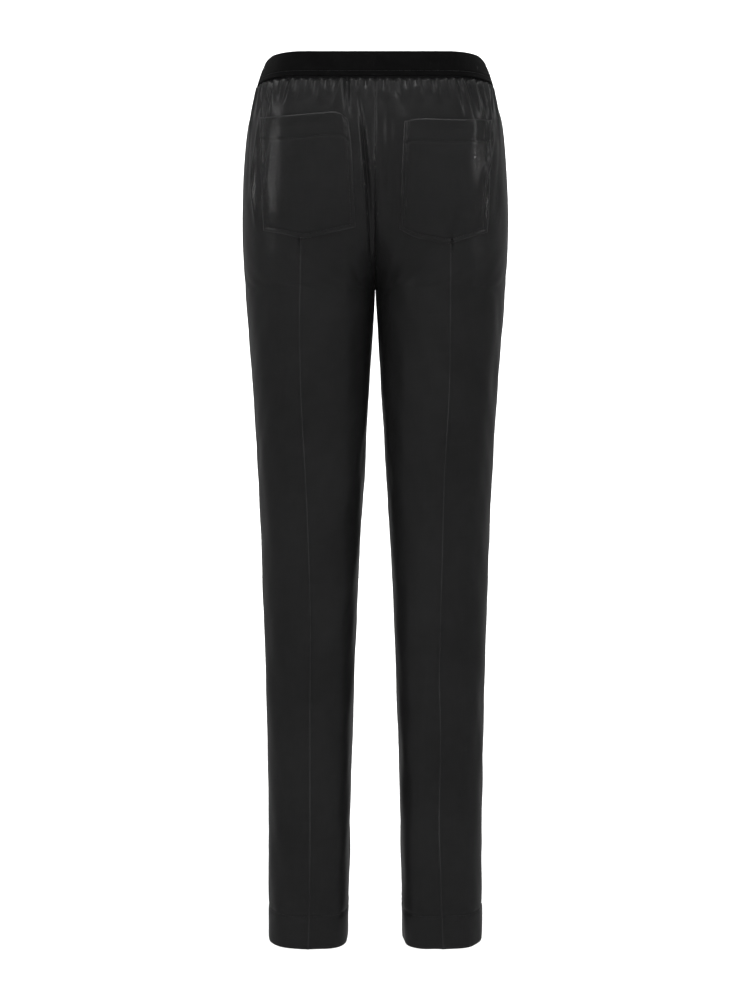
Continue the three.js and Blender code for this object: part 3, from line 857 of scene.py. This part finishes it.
def addStitches(name, paths, longer):
    # a row of small stitches, each bowed over the cloth and going down into it at its ends
    s = stitches
    points, faces = [], []
    for line, way in paths:
        length = np.concatenate([[0], np.cumsum(np.linalg.norm(np.diff(line, axis=0), axis=1))])
        count = int(length[-1] / (s["pitch"] * longer))
        for k in range(count):
            start = (k + 0.12 + 0.1 * math.sin(k * 2.3)) * length[-1] / count
            t = np.linspace(0, 1, s["rings"])
            at = start + t * s["length"] * longer
            centre = np.column_stack([np.interp(at, length, line[:, i]) for i in range(3)])
            up = np.column_stack([np.interp(at, length, way[:, i]) for i in range(3)])
            up /= np.linalg.norm(up, axis=1, keepdims=True)
            ahead = centre[-1] - centre[0]
            ahead /= max(np.linalg.norm(ahead), 1e-6)
            aside = np.cross(ahead, up)
            bow = np.sin(math.pi * t)
            centre = centre + up * (-s["sink"] + (s["sink"] + s["rise"]) * bow[:, None] ** 0.6)
            thick = s["radius"] * (0.55 + 0.45 * bow)
            first = sum(len(p) for p in points)
            ring = np.arange(s["sides"]) * 2 * math.pi / s["sides"]
            tube = (
                centre[:, None, :]
                + aside[:, None, :] * (np.cos(ring)[None, :, None] * thick[:, None, None])
                + up[:, None, :] * (np.sin(ring)[None, :, None] * thick[:, None, None])
            )
            points.append(tube.reshape(-1, 3))
            faces += (gridFaces(s["rings"], s["sides"], wrap=True)[:, ::-1] + first).tolist()
            faces.append((first + np.arange(s["sides"])).tolist())
            faces.append((first + (s["rings"] - 1) * s["sides"] + np.arange(s["sides"]))[::-1].tolist())
    return meshFrom(name, np.concatenate(points), faces)


stitchPieces = {}
for name in ("waistband", "pocket_left", "pocket_right", "hem_left", "hem_right"):
    longer = stitches["bandLonger"] if name == "waistband" else 1
    stitchPieces[name] = addStitches(name + "_stitches", stitchPaths[name], longer)
print("waistband and stitches made")

# finishes
clothFinish = {
    "colour": (0.0105, 0.0105, 0.0107),
    "lighter": (0.0150, 0.0150, 0.0153),
    # painted sheen: the lighter colour laid along pressed edges where highlights fall
    "paintedSheenColour": (0.034, 0.034, 0.0345),
    "thread": 0.00042,
    "weaveDepth": 0.10,
    "rough": 0.33,
    "gloss": 0.22,
    "sheen": 0.008,
    "sheenRough": 0.42,
}
elasticFinish = {
    "colour": (0.0024, 0.0024, 0.0025),
    "lighter": (0.0050, 0.0050, 0.0051),
    "pile": 0.0011,
    "rough": 0.95,
    "gloss": 0.02,
    "sheen": 0.02,
    "sheenRough": 0.6,
}
threadFinish = {"colour": (0.012, 0.012, 0.0122), "lighter": (0.03, 0.03, 0.0304), "rough": 0.5, "gloss": 0.2}


def newGroup(name, inputs, outputs):
    group = bpy.data.node_groups.new(name, "ShaderNodeTree")
    for label, kind, value in inputs:
        socket = group.interface.new_socket(name=label, in_out="INPUT", socket_type=kind)
        if value is not None:
            socket.default_value = value
    for label, kind in outputs:
        group.interface.new_socket(name=label, in_out="OUTPUT", socket_type=kind)
    return group, group.nodes.new("NodeGroupInput"), group.nodes.new("NodeGroupOutput")


def addMath(tree, operation, a, b=None):
    node = tree.nodes.new("ShaderNodeMath")
    node.operation = operation
    for socket, value in zip(node.inputs, (a, b)):
        if value is None:
            continue
        if isinstance(value, (int, float)):
            socket.default_value = value
        else:
            tree.links.new(value, socket)
    return node.outputs[0]


def addShares(tree, a, shareA, b, shareB):
    return addMath(tree, "ADD", addMath(tree, "MULTIPLY", a, shareA), addMath(tree, "MULTIPLY", b, shareB))


def addNoise(tree, vector, scale, detail=2.0, rough=0.5):
    node = tree.nodes.new("ShaderNodeTexNoise")
    if isinstance(scale, (int, float)):
        node.inputs["Scale"].default_value = scale
    else:
        tree.links.new(scale, node.inputs["Scale"])
    node.inputs["Detail"].default_value = detail
    node.inputs["Roughness"].default_value = rough
    tree.links.new(vector, node.inputs["Vector"])
    return node.outputs["Fac"]


def makeWeave():
    # plain weave: threads over and under each other, with thicker and thinner threads among them
    group, given, result = newGroup(
        "plainWeave",
        [("Place", "NodeSocketVector", None), ("Threads", "NodeSocketFloat", 2400.0)],
        [("Height", "NodeSocketFloat"), ("Slub", "NodeSocketFloat")],
    )
    scaled = group.nodes.new("ShaderNodeVectorMath")
    scaled.operation = "SCALE"
    group.links.new(given.outputs["Place"], scaled.inputs[0])
    group.links.new(given.outputs["Threads"], scaled.inputs["Scale"])
    apart = group.nodes.new("ShaderNodeSeparateXYZ")
    group.links.new(scaled.outputs[0], apart.inputs[0])
    u, v = (addMath(group, "MULTIPLY", apart.outputs[i], math.pi) for i in (0, 1))
    su, sv = addMath(group, "SINE", u), addMath(group, "SINE", v)
    cu, cv = (addMath(group, "ABSOLUTE", addMath(group, "COSINE", way)) for way in (u, v))
    over = addMath(group, "MULTIPLY", su, sv)
    group.links.new(addMath(group, "ADD", over, addShares(group, cu, 0.3, cv, 0.3)), result.inputs["Height"])
    stretched = []
    for way, seed in (((1.0, 0.03, 1.0), 0.0), ((0.03, 1.0, 1.0), 7.0)):
        wide = group.nodes.new("ShaderNodeVectorMath")
        wide.operation = "MULTIPLY_ADD"
        wide.inputs[1].default_value = tuple(0.35 * w for w in way)
        wide.inputs[2].default_value = (seed, seed, 0)
        group.links.new(scaled.outputs[0], wide.inputs[0])
        stretched.append(addNoise(group, wide.outputs[0], 1.0, 1.0))
    slub = addMath(group, "MULTIPLY", addMath(group, "ADD", *stretched), 0.5)
    group.links.new(slub, result.inputs["Slub"])
    return group


def makePatches():
    # slow, soft changes of tone over the cloth, as light wear and pressing leave
    group, given, result = newGroup(
        "softPatches",
        [("Place", "NodeSocketVector", None), ("Size", "NodeSocketFloat", 9.0)],
        [("Mask", "NodeSocketFloat")],
    )
    broad = addNoise(group, given.outputs["Place"], given.outputs["Size"], 3.0, 0.55)
    fine = addNoise(group, given.outputs["Place"], addMath(group, "MULTIPLY", given.outputs["Size"], 7.0))
    group.links.new(addShares(group, broad, 0.75, fine, 0.25), result.inputs["Mask"])
    return group


weave = makeWeave()
patches = makePatches()


def placeGroup(tree, group, **values):
    node = tree.nodes.new("ShaderNodeGroup")
    node.node_tree = group
    for label, value in values.items():
        if isinstance(value, (int, float)):
            node.inputs[label].default_value = value
        else:
            tree.links.new(value, node.inputs[label])
    return node


def startMaterial(name, finish):
    material = bpy.data.materials.new(name)
    material.use_nodes = True
    tree = material.node_tree
    shader = tree.nodes["Principled BSDF"]
    shader.inputs["Roughness"].default_value = finish["rough"]
    shader.inputs["Specular IOR Level"].default_value = finish["gloss"]
    if "sheen" in finish:
        shader.inputs["Sheen Weight"].default_value = finish["sheen"]
        shader.inputs["Sheen Roughness"].default_value = finish["sheenRough"]
    return material, tree, shader


def addTone(tree, shader, mask, finish, low, high):
    ramp = tree.nodes.new("ShaderNodeValToRGB")
    ramp.color_ramp.elements[0].position = low
    ramp.color_ramp.elements[0].color = (*finish["colour"], 1)
    ramp.color_ramp.elements[1].position = high
    ramp.color_ramp.elements[1].color = (*finish["lighter"], 1)
    # the painted sheen colour, at the top of the tone ramp
    if "paintedSheenColour" in finish:
        edge = ramp.color_ramp.elements.new(1.0)
        edge.color = (*finish["paintedSheenColour"], 1)
    tree.links.new(mask, ramp.inputs["Fac"])
    tree.links.new(ramp.outputs["Color"], shader.inputs["Base Color"])


def addBump(tree, shader, height, distance, strength):
    bump = tree.nodes.new("ShaderNodeBump")
    bump.inputs["Distance"].default_value = distance
    bump.inputs["Strength"].default_value = strength
    tree.links.new(height, bump.inputs["Height"])
    tree.links.new(bump.outputs["Normal"], shader.inputs["Normal"])


def makeCloth():
    f = clothFinish
    material, tree, shader = startMaterial("blackWeave", f)
    place = tree.nodes.new("ShaderNodeUVMap")
    place.uv_map = "cloth"
    woven = placeGroup(tree, weave, Place=place.outputs["UV"], Threads=1 / f["thread"])
    tone = placeGroup(tree, patches, Place=place.outputs["UV"], Size=9.0)
    mask = addShares(tree, tone.outputs["Mask"], 0.7, woven.outputs["Slub"], 0.3)
    # the "pressed" attribute lifts the tone toward the painted sheen colour along pressed edges
    pressed = tree.nodes.new("ShaderNodeAttribute")
    pressed.attribute_name = "pressed"
    mask = addMath(tree, "ADD", mask, addMath(tree, "MULTIPLY", pressed.outputs["Fac"], 0.5))
    addTone(tree, shader, mask, f, 0.36, 0.66)
    height = addMath(tree, "ADD", woven.outputs["Height"], woven.outputs["Slub"])
    addBump(tree, shader, height, 0.0001, f["weaveDepth"])
    uneven = addMath(tree, "ADD", addMath(tree, "MULTIPLY", tone.outputs["Mask"], 0.16), f["rough"] - 0.08)
    tree.links.new(uneven, shader.inputs["Roughness"])
    return material


def makeElastic():
    # short dense pile in fine upright ribs
    f = elasticFinish
    material, tree, shader = startMaterial("plushElastic", f)
    place = tree.nodes.new("ShaderNodeUVMap")
    place.uv_map = "cloth"
    apart = tree.nodes.new("ShaderNodeSeparateXYZ")
    tree.links.new(place.outputs["UV"], apart.inputs[0])
    ribs = addMath(tree, "SINE", addMath(tree, "MULTIPLY", apart.outputs[0], 2 * math.pi / f["pile"]))
    pile = addNoise(tree, place.outputs["UV"], 2600.0)
    tone = placeGroup(tree, patches, Place=place.outputs["UV"], Size=34.0)
    addTone(tree, shader, addShares(tree, tone.outputs["Mask"], 0.6, pile, 0.4), f, 0.35, 0.68)
    height = addMath(tree, "ADD", addMath(tree, "MULTIPLY", ribs, 0.25), pile)
    addBump(tree, shader, height, 0.0003, 0.5)
    return material


def makeThread():
    f = threadFinish
    material, tree, shader = startMaterial("sewingThread", f)
    place = tree.nodes.new("ShaderNodeTexCoord")
    twist = tree.nodes.new("ShaderNodeTexWave")
    twist.wave_type = "BANDS"
    twist.bands_direction = "DIAGONAL"
    twist.inputs["Scale"].default_value = 900.0
    twist.inputs["Distortion"].default_value = 1.5
    tree.links.new(place.outputs["Object"], twist.inputs["Vector"])
    addTone(tree, shader, twist.outputs["Fac"], f, 0.2, 0.9)
    addBump(tree, shader, twist.outputs["Fac"], 0.0001, 0.5)
    return material


blackWeave, plushElastic, sewingThread = makeCloth(), makeElastic(), makeThread()
for piece in [*panelPieces.values(), *pocketPieces.values()]:
    piece.data.materials.append(blackWeave)
bandPiece.data.materials.append(plushElastic)
for piece in stitchPieces.values():
    piece.data.materials.append(sewingThread)
print("finishes made")

# each piece rides on the one body, and takes the place of its solid
for name, piece in {**panelPieces, **pocketPieces, "waistband": bandPiece}.items():
    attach(piece, "root")
    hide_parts(name)
for piece in stitchPieces.values():
    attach(piece, "root")

# studio: pale floor and wall in one sweep, and soft light
studio = {
    "floorZ": -1.30,
    "floorFront": 3.0,
    "floorBack": -6.0,
    "bend": 1.2,
    "wallTop": 6.0,
    "halfWidth": 3.6,
    "tone": (0.92, 0.92, 0.92),
    "world": 0.22,
    # name, place, what it is turned to, size, power, spread in degrees, whether the cloth's gloss shows it
    "pairs": [
        ("high", (2.2, 1.5, 1.5), (0, 0, -0.12), (0.2, 0.3), 9, 180, True),
        ("hip", (2.3, 1.3, 0.3), (0.14, 0.06, -0.1), (0.08, 0.2), 0.027, 8, True),
        ("edge", (2.1, -1.5, 1.2), (0, 0, -0.1), (0.3, 0.5), 1.6, 180, True),
    ],
    "lights": [
        ("overhead", (0.0, 1.0, 2.5), (0, 0, -0.5), (1.6, 0.6), 31, 180, True),
        ("front", (0.2, 3.6, -0.4), (0, 0, -0.6), (1.8, 2.4), 48, 180, False),
        ("backdrop", (0.0, -3.6, 2.6), (0, -7.2, -0.4), (6.0, 1.4), 330, 180, False),
        ("floor", (0.0, -1.6, 3.6), (0, -2.5, -1.3), (5.0, 2.6), 240, 180, False),
    ],
}


def addStudio(s):
    floor, back, bend = s["floorZ"], s["floorBack"], s["bend"]
    rows = [(s["floorFront"], floor), (back, floor)]
    for a in np.linspace(0, math.pi / 2, 14):
        rows.append((back - bend * math.sin(a), floor + bend * (1 - math.cos(a))))
    rows.append((back - bend, s["wallTop"]))
    points = [(x, y, z) for y, z in rows for x in (-s["halfWidth"], s["halfWidth"])]
    data = bpy.data.meshes.new("studioSweep")
    data.from_pydata(points, [], [(2 * i, 2 * i + 1, 2 * i + 3, 2 * i + 2) for i in range(len(rows) - 1)])
    data.shade_smooth()
    sweep = addObject("studioSweep", data)
    material = bpy.data.materials.new("studioPaint")
    material.use_nodes = True
    paint = material.node_tree.nodes["Principled BSDF"].inputs
    paint["Base Color"].default_value = (*s["tone"], 1)
    paint["Roughness"].default_value = 0.9
    data.materials.append(material)
    sweep.visible_glossy = False
    world = bpy.data.worlds.new("studioAir")
    world.use_nodes = True
    # the air lights softly, and looks as pale as the sweep
    tree = world.node_tree
    air = tree.nodes["Background"]
    air.inputs["Color"].default_value = (1, 1, 1, 1)
    path = tree.nodes.new("ShaderNodeLightPath")
    seen = tree.nodes.new("ShaderNodeMapRange")
    seen.inputs["To Min"].default_value = s["world"]
    seen.inputs["To Max"].default_value = 1
    tree.links.new(path.outputs["Is Camera Ray"], seen.inputs["Value"])
    tree.links.new(seen.outputs["Result"], air.inputs["Strength"])
    bpy.context.scene.world = world
    mirrored = [
        (name + side, (hand * place[0], *place[1:]), (hand * target[0], *target[1:]), *rest)
        for name, place, target, *rest in s["pairs"]
        for side, hand in (("Left", 1), ("Right", -1))
    ]
    for name, place, target, size, power, spread, glossy in s["lights"] + mirrored:
        lamp = bpy.data.lights.new(name, "AREA")
        lamp.shape = "RECTANGLE"
        lamp.size, lamp.size_y = size
        lamp.energy = power
        lamp.spread = math.radians(spread)
        held = addObject(name, lamp)
        held.location = place
        held.visible_glossy = glossy
        way = np.array(target, float) - np.array(place, float)
        flat = math.hypot(way[0], way[1])
        held.rotation_euler = (math.atan2(flat, -way[2]), 0, math.atan2(way[1], way[0]) - math.pi / 2)


addStudio(studio)
bpy.context.scene.view_settings.view_transform = "Standard"
print("studio made")

bpy.context.view_layer.update()
